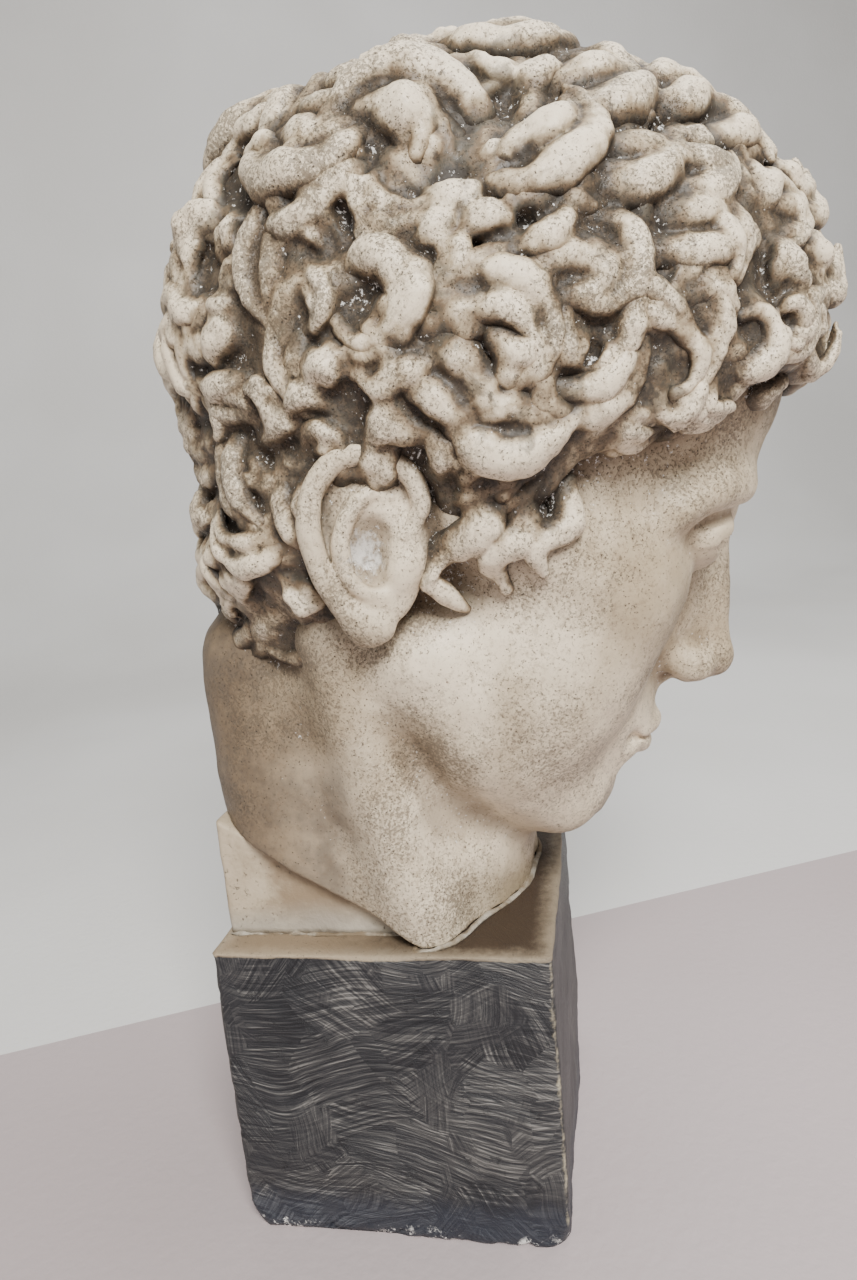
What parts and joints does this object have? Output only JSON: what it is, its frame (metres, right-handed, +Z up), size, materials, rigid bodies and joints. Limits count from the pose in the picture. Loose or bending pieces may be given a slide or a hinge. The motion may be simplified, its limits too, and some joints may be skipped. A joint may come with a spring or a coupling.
{
  "type": "portrait bust",
  "caption": "Hollow-cast plaster head with thick curled hair, bowed forward on its neck, propped by a wedge block on a dark square-sided plinth.",
  "frame": {"origin": "centre of the plinth's foot, where it rests", "axes": "+Z up, -Y the way the face looks, +X the head's own left"},
  "size_m": [0.23, 0.259, 0.4791],
  "materials": {
    "head_plaster": "waxed cream plaster, brown in the hollows, with fine dark speckles",
    "plinth_paint": "charcoal paint with crossing brush strokes, chipped white along the foot",
    "block_plaster": "brown-cream plaster, unevenly toned",
    "bead_plaster": "bare bluish-white plaster",
    "timber": "unvarnished softwood",
    "steel": "zinc-plated steel"
  },
  "bodies": {
    "root": {"head_cast": "head_plaster", "plinth": "plinth_paint", "neck_block": "block_plaster", "plaster_bead": "bead_plaster", "locating_pins": "timber", "rod_anchor": "timber", "deck_pad": "timber", "anchor_washer": "steel", "anchor_nut": "steel", "deck_plate_washer": "steel", "deck_nut": "steel", "deck_lock_nut": "steel", "head_rod": "steel"}
  },
  "joints": []
}
